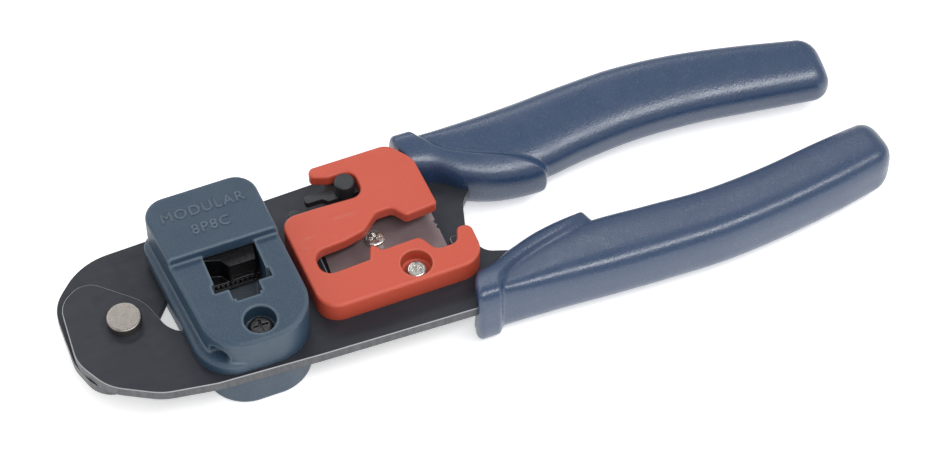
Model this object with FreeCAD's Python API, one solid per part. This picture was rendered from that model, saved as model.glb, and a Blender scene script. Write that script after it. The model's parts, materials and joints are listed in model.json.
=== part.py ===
import FreeCAD
import Part
import math
import os

os.makedirs("parts", exist_ok=True)

# Modular-plug crimping tool, closed.  +X runs from the pivot to the grips, +Y towards the arm
# that moves, +Z up through the stacked plates.  Shapes are drawn from the pivot axis with the
# front plate's underside at z = 0, then moved so that the origin is the centre of the underside.

# ---- driving dimensions, mm -------------------------------------------------------------
PLATE_T = 2.4
PLATE_GAP = 0.1
REST_Z = -9.0
FRONT_Z0, FRONT_Z1 = 0.0, PLATE_T
REAR_Z0, REAR_Z1 = -PLATE_GAP - PLATE_T, -PLATE_GAP

RIVET_R = 2.5
RIVET_HEAD_R = 3.5
RIVET_TOP = 4.5
WASHER_T = 0.5
RIVET_FIT = 0.05

TIER_TOP = 11.5
DECK_TOP = 13.2
DECK_EDGE_Y = 3.3
DECK_RAMP = 0.3
LEDGE_TOP = 5.4
SCOOP, SCOOP_R = (13.7, -17.0, 6.4), 2.5
BLOCK_UNDER_Z = REAR_Z0 - PLATE_GAP
BLOCK_SCREW = (23.3, -15.3)
BLOCK_RECESS_R = 3.25
BLOCK_RECESS_Z = 7.6
BLOCK_PAD_Y = -11.2

GUIDE_X0, GUIDE_X1 = 17.7, 28.5
GUIDE_TOP_Y = 3.0
PLUG_BAND_Y0, PLUG_BAND_Y1 = -6.4, -4.2
PLUG_BAND_OUT = 0.6
LATCH_W = 6.1
LATCH_Y = -9.6

PUNCH_FIT = 0.15
PUNCH_EDGE_Y = -0.5
PUNCH_BACK_Y = 12.6
PUNCH_Z0, PUNCH_FOOT_Z, PUNCH_Z1 = 2.7, 5.0, 10.4
PUNCH_TRAVEL = 3.4
CONTACTS = 8
CONTACT_PITCH = 1.02
DRIVE_PIN = (23.0, 10.0)
DRIVE_PIN_R = 1.3

GUARD_Z0, GUARD_Z1 = PLATE_T, 7.5
GUARD_EDGE_R = 0.55
GUARD_SCREW = (57.2, -11.4)
GUARD_RECESS_R = 3.2
GUARD_RECESS_Z = 4.3

BLADE_T = 1.25
BLADE_SCREWS = ((53.1, 1.0), (61.2, 6.0))
SHEAR_GAP = 0.15

KNOB = (50.9, 12.4)
KNOB_R = 2.05
KNOB_TOP = 8.2
SLIDER_Z0, SLIDER_Z1 = 3.3, 4.8
KEEPER_T = 0.75
KEEPER_SCREWS = ((56.5, 16.2), (58.6, 10.2))
LOCK_TRAVEL = 6.0
STUD = (39.5, 10.5)
STUD_R = 1.3

GRIP_MID_Z = -0.8
SECTION_POINTS = 28
SECTION_POWER = 0.62
COLLAR_RIM = 1.3
GRIP_PIN_R = 1.5
GRIP_PIN_Z0, GRIP_PIN_Z1 = -3.8, 2.4

CROSS_W = 0.7
CROSS_DEPTH = 0.8


def vec(x, y, z=0.0):
    return FreeCAD.Vector(x, y, z)


def box(x0, x1, y0, y1, z0, z1):
    return Part.makeBox(x1 - x0, y1 - y0, z1 - z0, vec(x0, y0, z0))


def rod(x, y, r, z0, z1):
    return Part.makeCylinder(r, z1 - z0, vec(x, y, z0))


def rounded_wire(corners):
    """A closed wire through corners (x, y) or (x, y, radius), each radius a tangent arc."""
    edges = []
    count = len(corners)
    starts, ends, mids = [], [], []
    for i, corner in enumerate(corners):
        here = vec(corner[0], corner[1])
        radius = corner[2] if len(corner) > 2 else 0.0
        back = vec(*corners[i - 1][:2]) - here
        ahead = vec(*corners[(i + 1) % count][:2]) - here
        back.normalize()
        ahead.normalize()
        half = back.getAngle(ahead) / 2.0
        if radius == 0.0 or abs(half - math.pi / 2.0) < 0.01:
            starts.append(here)
            ends.append(here)
            mids.append(None)
            continue
        reach = radius / math.tan(half)
        bisector = back + ahead
        bisector.normalize()
        starts.append(here + back * reach)
        ends.append(here + ahead * reach)
        mids.append(here + bisector * (radius / math.sin(half) - radius))
    for i in range(count):
        if mids[i] is not None:
            edges.append(Part.Arc(starts[i], mids[i], ends[i]).toShape())
        following = starts[(i + 1) % count]
        if ends[i].distanceToPoint(following) > 1e-6:
            edges.append(Part.LineSegment(ends[i], following).toShape())
    return Part.Wire(edges)


def slab(corners, z0, z1):
    face = Part.Face(rounded_wire(corners))
    face.translate(vec(0, 0, z0))
    return face.extrude(vec(0, 0, z1 - z0))


def soft_section(x, y0, y1, h0, h1, spread=0.0):
    """A smooth full oval in the YZ plane, of half height h0 on its low-y side and h1 on the other."""
    curve = Part.BSplineCurve()
    points = []
    for i in range(SECTION_POINTS):
        angle = 2 * math.pi * (i + 0.5) / SECTION_POINTS
        c, s = math.cos(angle), math.sin(angle)
        across = math.copysign(abs(c) ** SECTION_POWER, c)
        above = math.copysign(abs(s) ** SECTION_POWER, s)
        half_height = h0 + (h1 - h0) * (across + 1) / 2 + spread
        y = (y0 + y1) / 2 + across * ((y1 - y0) / 2 + spread)
        points.append(vec(x, y, GRIP_MID_Z + above * half_height))
    curve.interpolate(points, PeriodicFlag=True)
    return Part.Wire([curve.toShape()])


def flat_edges(shape, z):
    found = []
    for edge in shape.Edges:
        bounds = edge.BoundBox
        if abs(bounds.ZMin - z) < 1e-4 and abs(bounds.ZMax - z) < 1e-4:
            found.append(edge)
    return found


def soften(shape, z, radius):
    return shape.makeFillet(radius, flat_edges(shape, z))


def cross_head(x, y, radius, z0, z1, shank_r, shank_z):
    """A pan-head screw with a cross recess, its head from z0 to z1."""
    head = soften(rod(x, y, radius, z0, z1), z1, (z1 - z0) * 0.45)
    length = radius * 0.62
    low = z1 - CROSS_DEPTH
    head = head.cut(box(x - length, x + length, y - CROSS_W / 2, y + CROSS_W / 2, low, z1 + 1))
    head = head.cut(box(x - CROSS_W / 2, x + CROSS_W / 2, y - length, y + length, low, z1 + 1))
    return head.fuse(rod(x, y, shank_r, shank_z, z0)).removeSplitter()


def hex_nut(x, y, flats, z0, z1, bore_r):
    corner = flats / math.sqrt(3.0)
    points = [
        (x + corner * math.cos(math.radians(60 * i)), y + corner * math.sin(math.radians(60 * i)))
        for i in range(6)
    ]
    return slab(points, z0, z1).cut(rod(x, y, bore_r, z0 - 1, z1 + 1))


def group(shapes):
    return Part.makeCompound(shapes)


def plug_window(z0, z1):
    """The keyway that passes a modular plug: punch guide, body band and latch notch."""
    middle = (GUIDE_X0 + GUIDE_X1) / 2
    latch = LATCH_W / 2
    corners = [
        (GUIDE_X0, GUIDE_TOP_Y),
        (GUIDE_X1, GUIDE_TOP_Y),
        (GUIDE_X1, PLUG_BAND_Y1),
        (GUIDE_X1 + PLUG_BAND_OUT, PLUG_BAND_Y1),
        (GUIDE_X1 + PLUG_BAND_OUT, PLUG_BAND_Y0),
        (middle + latch, PLUG_BAND_Y0),
        (middle + latch, LATCH_Y + 0.7),
        (middle + latch - 0.6, LATCH_Y + 0.7),
        (middle + latch - 0.6, LATCH_Y),
        (middle - latch + 0.6, LATCH_Y),
        (middle - latch + 0.6, LATCH_Y + 0.7),
        (middle - latch, LATCH_Y + 0.7),
        (middle - latch, PLUG_BAND_Y0),
        (GUIDE_X0 - PLUG_BAND_OUT, PLUG_BAND_Y0),
        (GUIDE_X0 - PLUG_BAND_OUT, PLUG_BAND_Y1),
        (GUIDE_X0, PLUG_BAND_Y1),
    ]
    return slab(corners, z0, z1)


# ---- plates -----------------------------------------------------------------------------
FRONT_OUTLINE = [
    (-10.6, 8.8, 5.5), (-4.5, 12.8, 4.5), (5.2, 3.6, 9.0), (7.6, -4.6, 6.0), (11.4, -7.0, 1.5),
    (12.6, -7.0), (12.6, 16.4), (32.4, 16.4), (32.4, 6.0),
    (41.2, 6.0, 1.0), (41.2, -8.4, 1.0), (66.8, -8.4, 0.8), (66.8, -4.4, 0.8), (70.0, -4.4, 1.2),
    (72.4, -10.2, 3.5), (79.0, -12.6, 4.0), (100.0, -14.4), (142.0, -14.4, 2.0),
    (142.0, -20.4, 2.0), (80.0, -20.4, 4.0), (70.0, -22.9, 4.0), (34.0, -21.6), (12.4, -20.4, 6.0),
    (1.6, -18.6, 12.0), (-7.8, -13.2, 10.0), (-11.7, -5.6, 9.0),
]
REAR_OUTLINE = [
    (-11.6, 10.4, 9.0), (-3.5, 18.6, 14.0), (66.0, 20.6, 3.0),
    (76.0, 18.2, 4.0), (140.0, 16.0, 2.0), (140.0, 10.0, 2.0), (78.0, 9.0, 3.0),
    (73.4, 4.6, 5.0), (71.4, -2.0, 4.0), (71.4, -7.2, 1.5), (41.8, -7.2, 2.0), (41.8, 4.6, 2.0),
    (11.0, 5.6, 2.0), (6.6, 0.4, 5.0), (5.8, -8.6, 6.0), (-1.5, -13.0, 6.5), (-9.4, -11.8, 6.0),
    (-11.9, -4.0, 7.0),
]


def make_front_plate():
    plate = slab(FRONT_OUTLINE, FRONT_Z0, FRONT_Z1)
    plate = plate.cut(rod(0, 0, RIVET_R, -1, PLATE_T + 1))
    plate = plate.cut(plug_window(-1, PLATE_T + 1))
    slot_x0 = DRIVE_PIN[0] - DRIVE_PIN_R - 2.4
    slot_x1 = DRIVE_PIN[0] + DRIVE_PIN_R + 0.4
    slot_y0 = DRIVE_PIN[1] - DRIVE_PIN_R - 0.4
    slot_y1 = DRIVE_PIN[1] + DRIVE_PIN_R + PUNCH_TRAVEL + 0.6
    plate = plate.cut(box(slot_x0, slot_x1, slot_y0, slot_y1, -1, PLATE_T + 1))
    plate = plate.cut(rod(BLOCK_SCREW[0], BLOCK_SCREW[1], 1.4, -1, PLATE_T + 1))
    plate = plate.cut(rod(GUARD_SCREW[0], GUARD_SCREW[1], 1.2, -1, PLATE_T + 1))
    return soften(plate, FRONT_Z1, 0.25)


def make_rear_plate():
    plate = slab(REAR_OUTLINE, REAR_Z0, REAR_Z1)
    plate = plate.cut(rod(0, 0, RIVET_R + RIVET_FIT, REAR_Z0 - 1, REAR_Z1 + 1))
    plate = plate.cut(rod(DRIVE_PIN[0], DRIVE_PIN[1], DRIVE_PIN_R, REAR_Z0 - 1, REAR_Z1 + 1))
    plate = plate.cut(rod(STUD[0], STUD[1], STUD_R * 0.7, REAR_Z0 - 1, REAR_Z1 + 1))
    for x, y in BLADE_SCREWS:
        plate = plate.cut(rod(x, y, 1.0, REAR_Z0 - 1, REAR_Z1 + 1))
    return plate


# ---- pivot ------------------------------------------------------------------------------
def make_rivet():
    head_z = FRONT_Z1 + WASHER_T
    head = rod(0, 0, RIVET_HEAD_R, head_z, RIVET_TOP)
    head = soften(head, RIVET_TOP, 0.35)
    tail_z = REAR_Z0 - WASHER_T
    tail = rod(0, 0, RIVET_HEAD_R + 0.4, tail_z - 1.3, tail_z)
    tail = soften(tail, tail_z - 1.3, 0.5)
    return head.fuse(rod(0, 0, RIVET_R, tail_z, head_z)).fuse(tail).removeSplitter()


def make_washers():
    top = rod(0, 0, RIVET_HEAD_R, FRONT_Z1, FRONT_Z1 + WASHER_T)
    under = rod(0, 0, RIVET_HEAD_R + 1.2, REAR_Z0 - WASHER_T, REAR_Z0 - 0.05)
    shaft = rod(0, 0, RIVET_R, REAR_Z0 - 2, PLATE_T + 2)
    return group([top.cut(shaft), under.cut(shaft)])


# ---- die block --------------------------------------------------------------------------
BLOCK_OUTLINE = [(9.6, 18.6, 4.6), (33.0, 18.6, 4.8), (34.6, -20.1, 9.0), (12.8, -20.1, 8.5)]
LEDGE_OUTLINE = [(8.5, 16.8, 3.8), (20.0, 16.8), (20.0, -20.0), (10.6, -20.0, 8.0)]
PUNCH_CAVITY_BACK = PUNCH_BACK_Y + PUNCH_TRAVEL + 0.5


def make_block_top():
    tier = soften(slab(BLOCK_OUTLINE, PLATE_T, TIER_TOP), TIER_TOP, 0.7)
    deck = soften(slab(BLOCK_OUTLINE, PLATE_T, DECK_TOP), DECK_TOP, 0.9)
    deck_cut = Part.Face(
        Part.makePolygon([
            vec(0, DECK_EDGE_Y, DECK_TOP + 1), vec(0, DECK_EDGE_Y, DECK_TOP - 0.3),
            vec(0, DECK_EDGE_Y - DECK_RAMP, TIER_TOP), vec(0, DECK_EDGE_Y - DECK_RAMP, PLATE_T - 1),
            vec(0, -30, PLATE_T - 1), vec(0, -30, DECK_TOP + 1),
            vec(0, DECK_EDGE_Y, DECK_TOP + 1),
        ])
    ).extrude(vec(50, 0, 0))
    block = tier.fuse(deck.cut(deck_cut))
    ledge = soften(slab(LEDGE_OUTLINE, PLATE_T, LEDGE_TOP), LEDGE_TOP, 0.8)
    scoop = Part.makeSphere(SCOOP_R, vec(*SCOOP)).common(box(0, 50, -30, 0, LEDGE_TOP, DECK_TOP))
    block = block.cut(scoop).fuse(ledge).removeSplitter()
    block = block.cut(plug_window(PLATE_T - 1, DECK_TOP + 1))
    cavity = box(GUIDE_X0, GUIDE_X1, GUIDE_TOP_Y - 1, PUNCH_CAVITY_BACK, PLATE_T, PUNCH_Z1 + 0.3)
    block = block.cut(cavity)
    x, y = BLOCK_SCREW
    block = block.cut(rod(x, y, BLOCK_RECESS_R, BLOCK_RECESS_Z, TIER_TOP + 1))
    return block.cut(rod(x, y, 1.4, PLATE_T - 1, BLOCK_RECESS_Z + 1))


def make_block_bottom():
    block = soften(slab(BLOCK_OUTLINE, REST_Z, BLOCK_UNDER_Z), REST_Z, 0.9)
    pad = slab(BLOCK_OUTLINE, BLOCK_UNDER_Z, FRONT_Z0)
    pad = pad.cut(box(0, 50, BLOCK_PAD_Y, 30, BLOCK_UNDER_Z - 1, 1))
    block = block.fuse(pad).removeSplitter()
    block = block.cut(plug_window(REST_Z - 1, 1))
    x, y = BLOCK_SCREW
    nut = hex_nut(x, y, 5.6, REST_Z - 1, REST_Z + 2.6, 0.1)
    block = block.cut(rod(x, y, 1.4, REST_Z - 1, 1))
    return block.cut(nut)


def make_block_screw():
    x, y = BLOCK_SCREW
    return cross_head(x, y, 2.5, BLOCK_RECESS_Z, BLOCK_RECESS_Z + 1.8, 1.4, REST_Z + 0.6)


def make_block_nut():
    x, y = BLOCK_SCREW
    return hex_nut(x, y, 5.5, REST_Z + 0.3, REST_Z + 2.6, 1.4)


# ---- crimp punch ------------------------------------------------------------------------
COMB_Z0, COMB_Z1 = 3.2, 4.6
COMB_HALF_W = 4.3
STRAIN_Z0, STRAIN_Z1 = 5.6, 6.8
STRAIN_X0, STRAIN_X1 = 22.6, 26.8
COMB_BACK_Y = 4.0
COMB_EDGE_Y = PUNCH_EDGE_Y + 0.2


def make_punch():
    x0 = GUIDE_X0 + PUNCH_FIT
    x1 = GUIDE_X1 - PUNCH_FIT
    y = PUNCH_EDGE_Y
    corners = [
        (x0, PUNCH_BACK_Y, 0.6), (x1, PUNCH_BACK_Y, 0.6), (x1, y + 3.6), (x1 - 0.7, y, 0.5),
        (x0 + 4.2, y, 0.7), (x0 + 3.1, y + 2.1, 0.8), (x0, y + 3.0),
    ]
    punch = soften(slab(corners, PUNCH_FOOT_Z, PUNCH_Z1), PUNCH_Z1, 0.25)
    punch = punch.fuse(box(x0, x1, y + 0.3, PUNCH_BACK_Y, PUNCH_Z0, PUNCH_FOOT_Z)).removeSplitter()
    punch = punch.cut(drive_slot())
    punch = punch.cut(comb_envelope()).cut(strain_envelope())
    return punch


def drive_slot():
    x, y = DRIVE_PIN
    reach = DRIVE_PIN_R + 0.12
    return box(x - reach - 2.2, x + reach + 0.2, y - reach, y + reach, PUNCH_Z0 - 1, 8.0)


def comb_envelope():
    middle = (GUIDE_X0 + GUIDE_X1) / 2
    x0, x1 = middle - COMB_HALF_W, middle + COMB_HALF_W
    return box(x0, x1, COMB_EDGE_Y - 1, COMB_BACK_Y, COMB_Z0, COMB_Z1)


def strain_envelope():
    return box(STRAIN_X0, STRAIN_X1, COMB_EDGE_Y - 1, COMB_BACK_Y, STRAIN_Z0, STRAIN_Z1)


def make_comb():
    middle = (GUIDE_X0 + GUIDE_X1) / 2
    x0, x1 = middle - COMB_HALF_W, middle + COMB_HALF_W
    comb = box(x0, x1, PUNCH_EDGE_Y + 2.0, COMB_BACK_Y, COMB_Z0, COMB_Z1)
    for i in range(CONTACTS):
        x = middle + (i - (CONTACTS - 1) / 2) * CONTACT_PITCH
        comb = comb.fuse(box(x - 0.3, x + 0.3, COMB_EDGE_Y, COMB_BACK_Y, COMB_Z0, COMB_Z1))
    return comb.removeSplitter()


def make_strain_punch():
    bar = box(STRAIN_X0, STRAIN_X1, PUNCH_EDGE_Y, COMB_BACK_Y, STRAIN_Z0, STRAIN_Z1)
    edge = [e for e in bar.Edges if abs(e.BoundBox.YMax - PUNCH_EDGE_Y) < 1e-4 and e.Length > 3]
    return bar.makeFillet(0.2, edge)


def make_drive_pin():
    x, y = DRIVE_PIN
    pin = rod(x, y, DRIVE_PIN_R, REAR_Z0, 7.6)
    return soften(pin, 7.6, 0.3)


# ---- cutter guard -----------------------------------------------------------------------
GUARD_OUTLINE = [
    (44.6, 18.6, 1.4), (62.4, 18.6, 3.6), (66.1, 13.4, 5.0), (66.5, 0.9, 0.9), (59.6, 0.3, 1.2),
    (57.6, 3.3, 1.6), (54.2, 3.2, 1.8), (50.6, 0.0, 3.0), (46.0, -1.0, 4.0), (39.1, -1.4, 2.6),
    (39.1, -7.5, 2.6), (49.0, -7.0), (50.5, -3.2, 0.7), (52.2, -5.7, 0.6), (60.2, -5.5, 1.6),
    (62.2, -9.5, 1.8), (66.6, -9.5, 1.8), (67.9, -5.9, 1.2), (70.7, -6.2, 1.6),
    (70.6, -15.5, 4.8), (36.2, -15.5, 4.6), (35.6, 8.8, 3.2), (44.0, 8.8), (53.6, 8.4, 2.4),
    (53.6, 15.1, 2.3), (48.4, 15.0, 1.2), (45.3, 16.2, 0.9),
]
# The guard is a skin over the cutter, solid only round its edges and behind the lock.
GUARD_SKIN_Z = 4.95
GUARD_HOLLOW = [
    (38.4, -7.6), (67.4, -7.6), (67.4, 9.0), (54.6, 9.0), (54.6, 19.4), (44.0, 19.4),
    (44.0, 8.0), (38.4, 6.8),
]


# Raised gauge lines for the stripping length: x0, x1, y0, y1.
GAUGE_LINES = [(45.4, 50.4, 4.6, 5.0), (38.2, 40.6, 2.0, 2.3), (37.4, 38.6, -0.4, -0.1)]
GAUGE_LINE_H = 0.12


def make_guard():
    guard = slab(GUARD_OUTLINE, GUARD_Z0, GUARD_Z1)
    guard = soften(guard, GUARD_Z1, GUARD_EDGE_R)
    x, y = GUARD_SCREW
    guard = guard.cut(rod(x, y, GUARD_RECESS_R, GUARD_RECESS_Z, GUARD_Z1 + 1))
    guard = guard.cut(rod(x, y, 1.2, GUARD_Z0 - 1, GUARD_RECESS_Z + 1))
    guard = guard.cut(slab(GUARD_HOLLOW, GUARD_Z0, GUARD_SKIN_Z))
    guard = guard.cut(box(44.0, 61.6, KNOB[1] - 1.3, KNOB[1] + 2.0, GUARD_Z0, GUARD_SKIN_Z))
    guard = guard.cut(keeper_envelope())
    for sx, sy in KEEPER_SCREWS:
        guard = guard.cut(rod(sx, sy, 0.7, GUARD_Z0 - 1, 6.4))
    for x0, x1, y0, y1 in GAUGE_LINES:
        guard = guard.fuse(box(x0, x1, y0, y1, GUARD_Z1 - GAUGE_LINE_H, GUARD_Z1 + GAUGE_LINE_H))
    return guard.removeSplitter()


def keeper_envelope():
    return box(49.5, 62.4, 9.2, 17.4, GUARD_Z0, GUARD_Z0 + KEEPER_T)


def make_keeper():
    plate = keeper_envelope()
    plate = plate.cut(box(46.0, 54.6, 8.0, 11.0, GUARD_Z0 - 1, GUARD_Z0 + 2))
    plate = plate.cut(box(46.0, 54.6, 16.4, 18.0, GUARD_Z0 - 1, GUARD_Z0 + 2))
    for x, y in KEEPER_SCREWS:
        plate = plate.cut(rod(x, y, 0.7, GUARD_Z0 - 1, GUARD_Z0 + 2))
    return plate


def make_keeper_screws():
    return group([rod(x, y, 0.7, GUARD_Z0, 6.2) for x, y in KEEPER_SCREWS])


def make_guard_screw():
    x, y = GUARD_SCREW
    return cross_head(x, y, 2.1, GUARD_RECESS_Z, GUARD_RECESS_Z + 1.4, 1.2, REAR_Z0 + 0.1)


def make_guard_nut():
    x, y = GUARD_SCREW
    return hex_nut(x, y, 4.6, REAR_Z0 + 0.2, FRONT_Z0, 1.2)


# ---- blades -----------------------------------------------------------------------------
BLADE_Z0, BLADE_Z1 = REAR_Z1, REAR_Z1 + BLADE_T


def make_moving_blade():
    corners = [
        (41.9, -7.0, 0.5), (66.1, -7.0, 0.3), (66.1, 8.4, 0.8), (57.0, 8.4, 1.0),
        (50.0, 4.6, 1.0), (42.5, 3.0, 1.0),
    ]
    blade = slab(corners, BLADE_Z0, BLADE_Z1)
    for y, r in ((1.0, 0.55), (-0.4, 0.45)):
        blade = blade.cut(rod(66.2, y, r, BLADE_Z0 - 1, BLADE_Z1 + 1))
    for x, y in BLADE_SCREWS:
        blade = blade.cut(rod(x, y, 1.0, BLADE_Z0 - 1, BLADE_Z1 + 1))
    return blade


def make_blade_screws():
    return group([
        cross_head(x, y, 2.0, BLADE_Z1, BLADE_Z1 + 1.2, 1.0, REAR_Z0 + 0.2)
        for x, y in BLADE_SCREWS
    ])


def make_fixed_blade():
    return box(44.0, 66.2, -8.4, -7.5, BLADE_Z1 + SHEAR_GAP, PLATE_T)


# ---- lock -------------------------------------------------------------------------------
def make_slider():
    y = KNOB[1]
    bar = slab(
        [(42.6, y - 0.1, 0.6), (42.6, y + 1.7, 0.6), (61.0, y + 1.7, 0.4), (61.0, y - 1.1, 0.4),
         (47.0, y - 1.1, 0.4), (46.0, y - 0.1, 0.4)],
        SLIDER_Z0, SLIDER_Z1,
    )
    ear = slab(
        [(47.6, y, 0.2), (47.6, 16.2, 0.6), (53.2, 16.2, 0.6), (53.2, y, 0.2)],
        SLIDER_Z0, SLIDER_Z1,
    )
    return bar.fuse(ear).removeSplitter().cut(rod(KNOB[0], y, 0.9, SLIDER_Z0 - 1, SLIDER_Z1 + 1))


def make_knob():
    x, y = KNOB
    cap = soften(rod(x, y, KNOB_R, SLIDER_Z1, KNOB_TOP), KNOB_TOP, 0.35)
    return cap.fuse(rod(x, y, 0.9, SLIDER_Z0 + 0.1, SLIDER_Z1)).removeSplitter()


def make_stud():
    x, y = STUD
    stud = rod(x, y, STUD_R, REAR_Z1, SLIDER_Z1)
    stud = soften(stud, SLIDER_Z1, 0.3)
    return stud.fuse(rod(x, y, STUD_R * 0.7, REAR_Z0, REAR_Z1)).removeSplitter()


# ---- grips ------------------------------------------------------------------------------
# Stations along each handle: x, lower y, upper y, half height at lower y and at upper y.
LOWER_GRIP = [
    (71.6, -23.6, -17.0, 6.9, 5.4), (76.0, -24.0, -14.4, 7.0, 5.0), (84.0, -24.6, -11.8, 7.0, 4.8),
    (94.0, -25.4, -10.6, 7.0, 4.7), (106.0, -26.0, -11.3, 7.0, 4.7),
    (119.0, -26.2, -12.1, 7.0, 4.7), (132.0, -25.2, -11.4, 7.0, 4.7),
    (145.0, -23.4, -9.7, 6.9, 4.7), (151.6, -22.0, -9.2, 6.6, 4.5), (155.4, -20.9, -9.9, 5.7, 4.0),
    (157.6, -19.9, -11.2, 4.5, 3.2), (158.6, -18.9, -13.0, 3.0, 2.2),
]
LOWER_HUG = [
    (64.0, -23.6, -17.0, 7.0, 6.0), (72.0, -23.8, -13.0, 7.0, 5.6), (82.0, -24.2, -11.0, 7.0, 5.2),
    (96.0, -25.2, -10.0, 7.0, 4.9),
]
LOWER_COLLAR = [
    (65.2, -25.6), (65.8, -20.4, 3.0), (70.0, -15.2, 5.0), (80.0, -11.0, 14.0),
    (88.0, -9.4, 4.0), (93.6, -8.4), (92.6, -13.2, 1.5), (80.0, -15.6, 12.0),
    (72.6, -19.6, 5.0), (70.4, -26.6),
]
UPPER_GRIP = [
    (69.6, 14.2, 20.6, 5.0, 6.9), (75.0, 9.4, 21.2, 4.6, 7.0), (82.0, 6.4, 21.6, 4.4, 7.0),
    (91.0, 5.4, 22.0, 4.3, 7.0), (102.0, 6.8, 22.7, 4.3, 7.0), (114.0, 7.7, 23.0, 4.3, 7.0),
    (127.0, 7.1, 21.6, 4.3, 7.0), (140.0, 5.3, 18.9, 4.3, 6.8), (148.4, 4.1, 16.7, 4.2, 6.4),
    (152.6, 3.8, 15.4, 3.8, 5.6), (155.0, 4.6, 14.2, 3.2, 4.5), (156.2, 6.0, 12.8, 2.2, 3.0),
]
UPPER_HUG = [
    (62.0, 14.0, 22.2, 5.8, 7.0), (70.0, 9.0, 22.4, 5.2, 7.0), (80.0, 5.2, 22.0, 4.8, 7.0),
    (94.0, 4.2, 21.6, 4.5, 7.0),
]
UPPER_COLLAR = [
    (63.4, 24.8), (63.8, 18.6, 3.0), (67.6, 12.4, 8.0), (75.0, 5.4, 10.0), (84.0, 2.2, 6.0),
    (92.6, 1.6), (91.2, 6.4, 1.6), (82.0, 8.4, 10.0), (74.0, 12.8, 8.0), (68.8, 24.8),
]


def loft(stations, spread=0.0):
    return Part.makeLoft([soft_section(*station, spread) for station in stations], True, False)


def make_grip(stations, hug, collar_corners, plate, pins):
    """A handle with a proud collar: a slanted band of a slightly larger oval round its root."""
    collar = slab(collar_corners, -30.0, 30.0).common(loft(hug, COLLAR_RIM))
    foot = box(50.0, 170.0, -40.0, 40.0, REST_Z, 30.0)
    return loft(stations).fuse(collar).common(foot).cut(plate).cut(pins)


def make_pins(places):
    return group([rod(x, y, GRIP_PIN_R, GRIP_PIN_Z0, GRIP_PIN_Z1) for x, y in places])


LOWER_PINS = ((98.0, -17.6), (130.0, -17.6))
UPPER_PINS = ((98.0, 13.2), (130.0, 13.0))

front_plate = make_front_plate()
rear_plate = make_rear_plate()
lower_pins = make_pins(LOWER_PINS)
upper_pins = make_pins(UPPER_PINS)
front_plate = front_plate.cut(lower_pins)
rear_plate = rear_plate.cut(upper_pins)

nodes = {
    "front_plate": front_plate,
    "rear_plate": rear_plate,
    "pivot_rivet": make_rivet(),
    "pivot_washers": make_washers(),
    "die_block_top": make_block_top(),
    "die_block_bottom": make_block_bottom(),
    "block_screw": make_block_screw(),
    "block_nut": make_block_nut(),
    "crimp_punch": make_punch(),
    "contact_comb": make_comb(),
    "strain_punch": make_strain_punch(),
    "drive_pin": make_drive_pin(),
    "cutter_guard": make_guard(),
    "guard_screw": make_guard_screw(),
    "guard_nut": make_guard_nut(),
    "lock_keeper": make_keeper(),
    "keeper_screws": make_keeper_screws(),
    "moving_blade": make_moving_blade(),
    "blade_screws": make_blade_screws(),
    "fixed_blade": make_fixed_blade(),
    "lock_slider": make_slider(),
    "lock_knob": make_knob(),
    "lock_stud": make_stud(),
    "lower_grip": make_grip(LOWER_GRIP, LOWER_HUG, LOWER_COLLAR, front_plate, lower_pins),
    "upper_grip": make_grip(UPPER_GRIP, UPPER_HUG, UPPER_COLLAR, rear_plate, upper_pins),
    "lower_grip_pins": lower_pins,
    "upper_grip_pins": upper_pins,
}

whole = Part.makeCompound(list(nodes.values())).optimalBoundingBox(True, False)
origin = vec(-(whole.XMin + whole.XMax) / 2, -(whole.YMin + whole.YMax) / 2, -whole.ZMin)
print("origin shift", origin)
for name, shape in nodes.items():
    shape.translate(origin)
    print(name, shape.isValid(), len(shape.Solids), round(shape.Volume, 1))
    shape.exportStep(os.path.join("parts", name + ".step"))
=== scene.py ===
import json
import math

import bmesh
import bpy
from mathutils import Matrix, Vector


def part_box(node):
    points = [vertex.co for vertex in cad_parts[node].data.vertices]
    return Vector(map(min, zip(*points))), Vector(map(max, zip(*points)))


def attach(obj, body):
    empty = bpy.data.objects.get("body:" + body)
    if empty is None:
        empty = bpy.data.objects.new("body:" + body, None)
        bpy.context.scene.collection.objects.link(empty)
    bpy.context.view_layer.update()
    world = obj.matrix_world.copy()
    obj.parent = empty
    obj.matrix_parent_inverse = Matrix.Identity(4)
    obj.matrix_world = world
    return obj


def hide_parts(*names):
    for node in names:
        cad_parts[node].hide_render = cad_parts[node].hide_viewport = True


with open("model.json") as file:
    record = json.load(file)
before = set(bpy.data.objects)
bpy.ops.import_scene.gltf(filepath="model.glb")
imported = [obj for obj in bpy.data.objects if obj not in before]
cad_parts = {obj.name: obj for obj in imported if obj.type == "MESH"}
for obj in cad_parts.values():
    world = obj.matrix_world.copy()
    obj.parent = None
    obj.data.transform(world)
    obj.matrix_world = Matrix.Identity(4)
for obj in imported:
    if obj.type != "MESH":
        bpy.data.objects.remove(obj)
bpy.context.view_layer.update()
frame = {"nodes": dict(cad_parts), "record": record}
nodes = frame["nodes"]

# The pivot axis, where the plates meet, is the point that places are measured from, in mm.
rivet_lo, rivet_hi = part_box("pivot_rivet")
PIVOT = Vector(((rivet_lo[0] + rivet_hi[0]) / 2, (rivet_lo[1] + rivet_hi[1]) / 2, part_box("front_plate")[0][2]))


def at(x, y, z):
    return PIVOT + Vector((x, y, z)) / 1000


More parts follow.
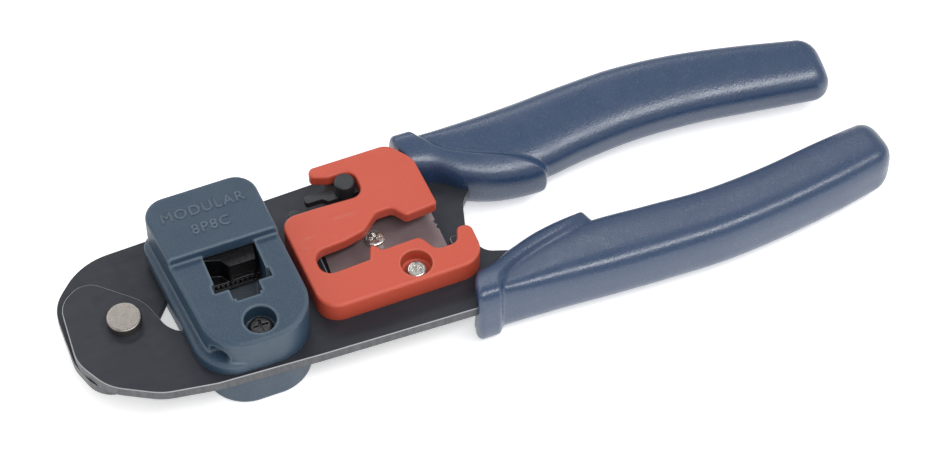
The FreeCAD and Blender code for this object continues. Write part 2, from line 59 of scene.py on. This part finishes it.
# ---- camera -------------------------------------------------------------------------
AZIMUTH, ELEVATION, DISTANCE = math.radians(-21.95), math.radians(53.7), 0.62
camera_data = bpy.data.cameras.new("camera")
camera_data.lens = 121.1
camera_data.sensor_width = 36
camera_data.clip_start = 0.01
camera = bpy.data.objects.new("camera", camera_data)
back = Vector((
    math.sin(AZIMUTH) * math.cos(ELEVATION),
    -math.cos(AZIMUTH) * math.cos(ELEVATION),
    math.sin(ELEVATION),
))
camera.location = at(68.1, -12.6, 14.4) + back * DISTANCE
camera.rotation_euler = (math.pi / 2 - ELEVATION, 0, AZIMUTH)
bpy.context.scene.collection.objects.link(camera)
bpy.context.scene.camera = camera

# ---- light and floor ----------------------------------------------------------------
scene = bpy.context.scene
scene.view_settings.view_transform = "Standard"
world = bpy.data.worlds.new("studio")
world.use_nodes = True
world.node_tree.nodes["Background"].inputs["Color"].default_value = (1.0, 1.0, 1.0, 1.0)
world.node_tree.nodes["Background"].inputs["Strength"].default_value = 0.55
scene.world = world


def softbox(name, location, target, width, height, power, colour=(1, 1, 1)):
    data = bpy.data.lights.new(name, "AREA")
    data.shape = "RECTANGLE"
    data.size, data.size_y = width, height
    data.energy = power
    data.color = colour
    lamp = bpy.data.objects.new(name, data)
    lamp.location = location
    lamp.rotation_euler = (Vector(target) - Vector(location)).to_track_quat("-Z", "Y").to_euler()
    scene.collection.objects.link(lamp)


softbox("key_back", (-0.10, 0.55, 0.60), (0, 0, 0), 0.9, 0.16, 1.4)
softbox("key_left", (-0.70, -0.05, 0.45), (0, 0, 0), 0.3, 0.3, 0.5)
softbox("top_strip", (0.12, -0.32, 0.72), (0, 0, 0), 0.9, 0.10, 3.9)


# ---- material helpers ---------------------------------------------------------------
class Shader:
    """A principled material and short ways to add nodes to it."""

    def __init__(self, name):
        self.material = bpy.data.materials.new(name)
        self.material.use_nodes = True
        self.tree = self.material.node_tree
        self.bsdf = self.tree.nodes["Principled BSDF"]
        self.coords = self.tree.nodes.new("ShaderNodeTexCoord")
        self.where = self.coords.outputs["Object"]

    def put(self, socket, value):
        target = self.bsdf.inputs[socket]
        if isinstance(value, bpy.types.NodeSocket):
            self.tree.links.new(value, target)
        else:
            target.default_value = value

    def feed(self, node, socket, value):
        target = node.inputs[socket]
        if isinstance(value, bpy.types.NodeSocket):
            self.tree.links.new(value, target)
        else:
            target.default_value = value

    def stretched(self, scale):
        node = self.tree.nodes.new("ShaderNodeMapping")
        node.inputs["Scale"].default_value = scale
        self.tree.links.new(self.where, node.inputs["Vector"])
        return node.outputs["Vector"]

    def noise(self, scale, detail=3.0, rough=0.55, vector=None):
        node = self.tree.nodes.new("ShaderNodeTexNoise")
        node.inputs["Scale"].default_value = scale
        node.inputs["Detail"].default_value = detail
        node.inputs["Roughness"].default_value = rough
        self.tree.links.new(vector or self.where, node.inputs["Vector"])
        return node.outputs["Fac"]

    def cells(self, scale):
        node = self.tree.nodes.new("ShaderNodeTexVoronoi")
        node.inputs["Scale"].default_value = scale
        self.tree.links.new(self.where, node.inputs["Vector"])
        return node.outputs["Distance"]

    def span(self, value, low, high, out_low=0.0, out_high=1.0):
        node = self.tree.nodes.new("ShaderNodeMapRange")
        self.feed(node, "Value", value)
        node.inputs["From Min"].default_value = low
        node.inputs["From Max"].default_value = high
        node.inputs["To Min"].default_value = out_low
        node.inputs["To Max"].default_value = out_high
        return node.outputs["Result"]

    def maths(self, operation, a, b=0.0):
        node = self.tree.nodes.new("ShaderNodeMath")
        node.operation = operation
        self.feed(node, 0, a)
        self.feed(node, 1, b)
        return node.outputs[0]

    def mix(self, factor, a, b):
        node = self.tree.nodes.new("ShaderNodeMix")
        node.data_type = "RGBA"
        self.feed(node, 0, factor)
        for index, colour in ((6, a), (7, b)):
            if isinstance(colour, bpy.types.NodeSocket):
                self.tree.links.new(colour, node.inputs[index])
            else:
                node.inputs[index].default_value = (*colour, 1.0)
        return node.outputs[2]

    def edge(self, radius, low=0.02, high=0.22):
        """Near 1 along convex and concave corners, from how far a rounded normal turns."""
        bevel = self.tree.nodes.new("ShaderNodeBevel")
        bevel.samples = 4
        bevel.inputs["Radius"].default_value = radius
        geometry = self.tree.nodes.new("ShaderNodeNewGeometry")
        dot = self.tree.nodes.new("ShaderNodeVectorMath")
        dot.operation = "DOT_PRODUCT"
        self.tree.links.new(bevel.outputs["Normal"], dot.inputs[0])
        self.tree.links.new(geometry.outputs["Normal"], dot.inputs[1])
        return self.span(self.maths("SUBTRACT", 1.0, dot.outputs["Value"]), low, high)

    def facing_up(self):
        split = self.tree.nodes.new("ShaderNodeSeparateXYZ")
        self.tree.links.new(self.coords.outputs["Normal"], split.inputs[0])
        return self.maths("ABSOLUTE", split.outputs["Z"])

    def bump(self, height, strength, distance, after=None, rounding=None):
        node = self.tree.nodes.new("ShaderNodeBump")
        node.inputs["Strength"].default_value = strength
        node.inputs["Distance"].default_value = distance
        self.tree.links.new(height, node.inputs["Height"])
        if after is not None:
            self.tree.links.new(after, node.inputs["Normal"])
        return node.outputs["Normal"]

    def rounded(self, radius):
        bevel = self.tree.nodes.new("ShaderNodeBevel")
        bevel.samples = 4
        bevel.inputs["Radius"].default_value = radius
        return bevel.outputs["Normal"]


def moulded(name, body, speck_and_highlight_tone, dark, rough, grain, grain_depth, edge_highlight_strength, edge_radius=0.0005, specular=0.5, speckle=0.22):
    """Moulded plastic: slow tone drift, fine grain, a painted highlight that makes corners and creases paler, and a
    few handling marks.
    """
    s = Shader(name)
    drift = s.span(s.noise(38, 4.0), 0.3, 0.7)
    tone = s.mix(s.maths("MULTIPLY", drift, 0.35), body, dark)
    speck = s.span(s.noise(3600, 2.0), 0.56, 0.74)
    tone = s.mix(s.maths("MULTIPLY", speck, speckle), tone, speck_and_highlight_tone)
    # Painted highlight: corners and creases are mixed towards the pale speck tone, standing in for light caught on
    # edges.
    tone = s.mix(s.maths("MULTIPLY", s.edge(edge_radius, 0.01, 0.14), edge_highlight_strength), tone, speck_and_highlight_tone)
    s.put("Base Color", tone)
    s.put("Roughness", s.span(s.noise(260, 5.0), 0.3, 0.7, rough - 0.05, rough + 0.07))
    s.bsdf.inputs["Specular IOR Level"].default_value = specular
    first = s.bump(s.noise(grain, 3.0, 0.6), 0.35, grain_depth, s.rounded(edge_radius * 0.8))
    s.put("Normal", s.bump(s.noise(140, 3.0), 0.12, 0.00025, first))
    return s.material


def black_steel():
    """Black oxide plate: satin faces, grey side walls and a painted highlight along the rims."""
    s = Shader("black_oxide_plate")
    rolled = s.noise(1.0, 4.0, 0.6, s.stretched((90, 900, 900)))
    cloud = s.noise(45, 5.0)
    face = s.mix(s.span(cloud, 0.32, 0.7), (0.020, 0.024, 0.033), (0.030, 0.034, 0.044))
    face = s.mix(s.maths("MULTIPLY", s.span(rolled, 0.35, 0.75), 0.2), face, (0.05, 0.051, 0.056))
    scuff = s.span(s.noise(1.0, 3.0, 0.6, s.stretched((260, 2600, 2600))), 0.70, 0.80)
    face = s.mix(s.maths("MULTIPLY", scuff, 0.12), face, (0.12, 0.12, 0.125))
    up = s.facing_up()
    shear = s.noise(1.0, 3.0, 0.6, s.stretched((1200, 1200, 260)))
    wall = s.mix(s.span(shear, 0.3, 0.7), (0.065, 0.068, 0.075), (0.11, 0.113, 0.12))
    tone = s.mix(s.span(up, 0.25, 0.02), face, wall)
    # Painted highlight: a light grey line along the rounded rims where the faces meet the side walls.
    rim = s.maths("MULTIPLY", s.span(up, 0.10, 0.45), s.span(up, 0.985, 0.80))
    tone = s.mix(s.maths("MULTIPLY", rim, 0.75), tone, (0.55, 0.55, 0.57))
    s.put("Base Color", tone)
    s.bsdf.inputs["Metallic"].default_value = 0.35
    s.bsdf.inputs["Specular IOR Level"].default_value = 0.45
    s.put("Roughness", s.span(s.noise(420, 5.0), 0.3, 0.7, 0.38, 0.52))
    first = s.bump(s.noise(3800, 3.0), 0.25, 0.00003)
    s.put("Normal", s.bump(rolled, 0.12, 0.00005, first))
    return s.material


def turned_metal(name, light, dark, rough, centre, ring_scale=2600, depth=0.00003):
    """Plated metal with fine rings about a vertical axis, as left by turning or upsetting."""
    s = Shader(name)
    shift = s.tree.nodes.new("ShaderNodeVectorMath")
    shift.operation = "SUBTRACT"
    s.tree.links.new(s.where, shift.inputs[0])
    shift.inputs[1].default_value = centre
    flat = s.tree.nodes.new("ShaderNodeVectorMath")
    flat.operation = "MULTIPLY"
    s.tree.links.new(shift.outputs[0], flat.inputs[0])
    flat.inputs[1].default_value = (1, 1, 0)
    length = s.tree.nodes.new("ShaderNodeVectorMath")
    length.operation = "LENGTH"
    s.tree.links.new(flat.outputs[0], length.inputs[0])
    ring = s.tree.nodes.new("ShaderNodeTexNoise")
    ring.noise_dimensions = "1D"
    ring.inputs["Scale"].default_value = ring_scale
    ring.inputs["Detail"].default_value = 3.0
    s.tree.links.new(length.outputs["Value"], ring.inputs["W"])
    mottle = s.noise(900, 4.0)
    tone = s.mix(s.span(mottle, 0.3, 0.75), light, dark)
    tone = s.mix(s.maths("MULTIPLY", s.span(ring.outputs["Fac"], 0.4, 0.7), 0.35), tone, dark)
    s.put("Base Color", tone)
    s.bsdf.inputs["Metallic"].default_value = 1.0
    s.put("Roughness", s.span(s.noise(1500, 3.0), 0.3, 0.7, rough - 0.06, rough + 0.08))
    s.put("Normal", s.bump(ring.outputs["Fac"], 0.35, depth))
    return s.material


def ground_steel(name, light, dark, rough, metallic=0.9):
    """Ground tool steel with fine lines along X, darkened in patches."""
    s = Shader(name)
    lines = s.noise(1.0, 4.0, 0.65, s.stretched((160, 5200, 5200)))
    patch = s.noise(110, 4.0)
    tone = s.mix(s.span(patch, 0.35, 0.7), light, dark)
    tone = s.mix(s.maths("MULTIPLY", s.span(lines, 0.35, 0.7), 0.4), tone, dark)
    s.put("Base Color", tone)
    s.bsdf.inputs["Metallic"].default_value = metallic
    s.put("Roughness", s.span(lines, 0.3, 0.7, rough - 0.06, rough + 0.1))
    s.put("Normal", s.bump(lines, 0.3, 0.00004))
    return s.material


def dark_fastener(name, tone_a, tone_b, rough):
    s = Shader(name)
    tone = s.mix(s.span(s.noise(1400, 4.0), 0.35, 0.7), tone_a, tone_b)
    # Painted edge tone: edges and recess rims are mixed towards mid grey, a painted highlight on the dark fasteners
    # and painted shade on the bright ones.
    tone = s.mix(s.maths("MULTIPLY", s.edge(0.0002), 0.5), tone, (0.45, 0.45, 0.46))
    s.put("Base Color", tone)
    s.bsdf.inputs["Metallic"].default_value = 0.85
    s.put("Roughness", s.span(s.noise(2200, 3.0), 0.3, 0.7, rough - 0.06, rough + 0.1))
    s.put("Normal", s.bump(s.noise(6000, 2.0), 0.3, 0.00003, s.rounded(0.00012)))
    return s.material


# In each call the second colour is the speck tone that also serves as the painted edge highlight, and the number after
# the grain depth sets the strength of that painted highlight.
slate = moulded("slate_nylon", (0.024, 0.052, 0.088), (0.19, 0.25, 0.31), (0.019, 0.043, 0.075), 0.40, 3600, 0.00010, 0.85, 0.0010, speckle=0.22)
red = moulded("red_nylon", (0.53, 0.076, 0.040), (0.90, 0.30, 0.21), (0.49, 0.064, 0.034), 0.38, 3600, 0.00004, 0.50, 0.0007, speckle=0.08)
navy = moulded("navy_vinyl", (0.018, 0.046, 0.110), (0.20, 0.28, 0.40), (0.015, 0.040, 0.098), 0.29, 2200, 0.00016, 0.20, 0.0007, 0.9)
black = moulded("black_nylon", (0.018, 0.020, 0.024), (0.10, 0.11, 0.12), (0.012, 0.013, 0.016), 0.40, 4200, 0.00004, 0.5, 0.0003)
plate = black_steel()
nickel = turned_metal("nickel_rivet", (0.345, 0.318, 0.295), (0.27, 0.25, 0.232), 0.30, PIVOT)
chrome = dark_fastener("bright_zinc", (0.80, 0.78, 0.74), (0.30, 0.29, 0.27), 0.16)
dark_metal = dark_fastener("blackened_steel", (0.045, 0.045, 0.05), (0.08, 0.08, 0.085), 0.36)
blade = ground_steel("ground_blade", (0.29, 0.235, 0.245), (0.20, 0.15, 0.16), 0.34, 0.4)
punch = dark_fastener("punch_black", (0.016, 0.016, 0.018), (0.030, 0.030, 0.033), 0.38)

FINISH = {
    "plate_black": plate,
    "rivet_nickel": nickel,
    "block_slate": slate,
    "guard_red": red,
    "grip_navy": navy,
    "screw_dark": dark_metal,
    "screw_bright": chrome,
    "blade_steel": blade,
    "punch_black": punch,
    "knob_black": black,
}
slot_of = {s["node"]: s["material_slot"] for s in frame["record"]["subparts"]}
for name, obj in nodes.items():
    obj.data.materials.clear()
    obj.data.materials.append(FINISH[slot_of[name]])

# ---- floor --------------------------------------------------------------------------
mesh = bpy.data.meshes.new("floor")
build = bmesh.new()
bmesh.ops.create_grid(build, x_segments=2, y_segments=2, size=3.0)
build.to_mesh(mesh)
build.free()
floor = bpy.data.objects.new("floor", mesh)
scene.collection.objects.link(floor)
floor_shader = Shader("pale_floor")
floor_shader.put("Base Color", floor_shader.mix(floor_shader.noise(4, 3.0), (0.93, 0.93, 0.93), (0.95, 0.95, 0.95)))
floor_shader.put("Roughness", 0.7)
floor_shader.put("Emission Color", (1.0, 1.0, 1.0, 1.0))
floor_shader.put("Emission Strength", 0.46)
floor.data.materials.append(floor_shader.material)


# ---- grips --------------------------------------------------------------------------
# Stations along each handle, mm from the pivot: x, lower y, upper y, half height at each.
LOWER_GRIP = [
    (60.0, -23.4, -18.0, 7.0, 6.0), (71.6, -23.6, -16.6, 7.0, 5.6), (76.0, -24.0, -14.4, 7.0, 5.0),
    (84.0, -24.6, -11.8, 7.0, 4.8), (94.0, -25.4, -10.6, 7.0, 4.7), (106.0, -26.0, -11.3, 7.0, 4.7),
    (119.0, -26.2, -12.1, 7.0, 4.7), (132.0, -25.2, -11.4, 7.0, 4.7),
    (145.0, -23.4, -9.7, 6.9, 4.7), (154.0, -21.6, -8.8, 6.7, 4.7), (160.0, -20.4, -8.4, 6.6, 4.6),
]
UPPER_GRIP = [
    (58.0, 15.0, 21.0, 5.4, 7.0), (69.6, 13.4, 21.0, 5.0, 7.0), (75.0, 9.4, 21.3, 4.6, 7.0),
    (82.0, 6.4, 21.6, 4.4, 7.0), (91.0, 5.4, 22.0, 4.3, 7.0), (102.0, 6.8, 22.7, 4.3, 7.0),
    (114.0, 7.7, 23.0, 4.3, 7.0), (127.0, 7.1, 21.6, 4.3, 7.0), (140.0, 5.3, 18.9, 4.3, 6.8),
    (151.0, 3.6, 16.2, 4.2, 6.4), (158.0, 2.6, 14.6, 4.1, 6.2),
]
GRIP_MIDDLE_Z = -0.8
GRIP_FULLNESS = 0.62
GRIP_FLOOR = -8.98
END_RADIUS = 3.8
COLLAR_SEARCH_START, COLLAR_SEARCH_END, COLLAR_SEARCH_STEP = 60.0, 102.0, 0.1
COLLAR_SMOOTHING = 16
# Where each collar starts and ends along x, against y: the slanted faces of the finger stop.
LOWER_START = [(-25.0, 65.3), (-20.4, 66.0), (-18.3, 67.2), (-15.4, 70.8), (-13.4, 75.2), (-11.2, 82.8), (-9.6, 88.0)]
LOWER_STOP = [(-25.0, 69.8), (-20.3, 71.8), (-17.7, 74.7), (-15.8, 79.1), (-14.5, 85.0), (-13.2, 89.2), (-11.8, 92.9), (-10.4, 95.4)]
UPPER_START = [(2.6, 83.0), (5.2, 76.7), (8.2, 71.6), (12.4, 67.4), (15.5, 65.2), (18.6, 64.0), (24.0, 63.5)]
UPPER_STOP = [(3.1, 94.0), (5.7, 91.6), (8.6, 86.6), (11.0, 81.2), (13.2, 76.0), (15.6, 72.0), (19.1, 69.2), (24.0, 67.4)]


def between(table, key, column=1):
    """Smoothly interpolated column of a table sorted by its first entry."""
    if key <= table[0][0]:
        return table[0][column]
    if key >= table[-1][0]:
        return table[-1][column]
    i = max(k for k in range(len(table) - 1) if table[k][0] <= key)
    x0, x1 = table[i][0], table[i + 1][0]
    y0, y1 = table[i][column], table[i + 1][column]

    def slope(k):
        if k == 0 or k == len(table) - 1:
            a, b = (0, 1) if k == 0 else (k - 1, k)
        else:
            a, b = k - 1, k + 1
        return (table[b][column] - table[a][column]) / (table[b][0] - table[a][0])

    t = (key - x0) / (x1 - x0)
    h = x1 - x0
    return (
        y0 * (2 * t**3 - 3 * t**2 + 1)
        + slope(i) * h * (t**3 - 2 * t**2 + t)
        + y1 * (3 * t**2 - 2 * t**3)
        + slope(i + 1) * h * (t**3 - t**2)
    )


def ease(t):
    t = min(1.0, max(0.0, t))
    return t * t * (3 - 2 * t)


def grip_point(stations, x, angle, spread):
    c, s = math.cos(angle), math.sin(angle)
    across = math.copysign(abs(c) ** GRIP_FULLNESS, c)
    above = math.copysign(abs(s) ** GRIP_FULLNESS, s)
    y0, y1, h0, h1 = (between(stations, x, k) for k in (1, 2, 3, 4))
    height = h0 + (h1 - h0) * (across + 1) / 2 + spread
    y = (y0 + y1) / 2 + across * ((y1 - y0) / 2 + spread)
    return y, max(GRIP_FLOOR, GRIP_MIDDLE_Z + above * height)


def collar_line(stations, curve, angles):
    """Where a slanted curve crosses the handle at each angle round it, evened out round the section."""
    crossings = []
    for angle in angles:
        x = COLLAR_SEARCH_START
        while x < between(curve, grip_point(stations, x, angle, 0.0)[0]) and x < COLLAR_SEARCH_END:
            x += COLLAR_SEARCH_STEP
        crossings.append(x)
    for _ in range(COLLAR_SMOOTHING):
        crossings = [
            (crossings[k - 1] + 2 * crossings[k] + crossings[(k + 1) % len(crossings)]) / 4
            for k in range(len(crossings))
        ]
    return crossings


def make_grip(name, node, body, stations, start, stop, tip_x, inner):
    """A handle swept through its stations, with a proud slanted collar and a rounded end."""
    around, along, cap = 200, 400, 10
    angles = [2 * math.pi * (j + 0.5) / around for j in range(around)]
    starts = collar_line(stations, start, angles)
    stops = collar_line(stations, stop, angles)
    fades = [1.6 + 1.4 * abs(stops[(j + 1) % around] - stops[j - 1]) for j in range(around)]
    build = bmesh.new()
    rows = []
    for i in range(along + cap):
        row = []
        for j, angle in enumerate(angles):
            if i < along:
                u = (i / (along - 1)) ** 1.15
                x_start = starts[j]
                x = x_start + u * (tip_x - END_RADIUS - x_start)
                side = 0.5 + 0.5 * inner * math.cos(angle)
                rim = 1.2 + 1.0 * side**3
                spread = rim * ease((stops[j] - x) / fades[j] + 0.5)
                nose = min(1.0, (x - x_start) / 1.2)
                spread -= 1.1 * (1 - math.sqrt(max(0.0, 1 - (1 - nose) ** 2)))
            else:
                turn = math.pi / 2 * (i - along + 1) / cap
                x = tip_x - END_RADIUS * (1 - math.sin(turn))
                spread = -END_RADIUS * 0.86 * (1 - math.cos(turn))
            y, z = grip_point(stations, x, angle, spread)
            row.append(build.verts.new(at(x, y, z)))
        rows.append(row)
    for a, b in zip(rows, rows[1:]):
        for j in range(around):
            k = (j + 1) % around
            build.faces.new((a[j], a[k], b[k], b[j]))
    for row in (rows[0], rows[-1]):
        middle = sum((v.co for v in row), Vector()) / around
        ring = row
        for share in (0.6, 0.25):
            inner_ring = [build.verts.new(middle + (v.co - middle) * share) for v in row]
            for j in range(around):
                k = (j + 1) % around
                build.faces.new((ring[j], ring[k], inner_ring[k], inner_ring[j]))
            ring = inner_ring
        build.faces.new(ring)
    bmesh.ops.recalc_face_normals(build, faces=build.faces)
    mesh = bpy.data.meshes.new(name)
    build.to_mesh(mesh)
    build.free()
    for polygon in mesh.polygons:
        polygon.use_smooth = True
    mesh.materials.append(navy)
    grip = bpy.data.objects.new(name, mesh)
    scene.collection.objects.link(grip)
    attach(grip, body)
    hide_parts(node)


make_grip("lower_handle", "lower_grip", "lower_arm", LOWER_GRIP, LOWER_START, LOWER_STOP, 158.6, 1)
make_grip("upper_handle", "upper_grip", "upper_arm", UPPER_GRIP, UPPER_START, UPPER_STOP, 156.2, -1)


# ---- raised lettering on the deck ---------------------------------------------------
def raised_text(name, words, size, place):
    curve = bpy.data.curves.new(name, "FONT")
    curve.body = words
    curve.size = size / 1000
    curve.align_x = "CENTER"
    curve.extrude = 0.00012
    curve.bevel_depth = 0.00005
    curve.space_character = 1.15
    text = bpy.data.objects.new(name, curve)
    text.location = place
    scene.collection.objects.link(text)
    curve.materials.append(slate)
    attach(text, "lower_arm")


deck_z = (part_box("die_block_top")[1][2] - PIVOT.z) * 1000
raised_text("deck_line_one", "MODULAR", 3.3, at(21.4, 12.0, deck_z + 0.02))
raised_text("deck_line_two", "8P8C", 3.3, at(21.6, 7.4, deck_z + 0.02))
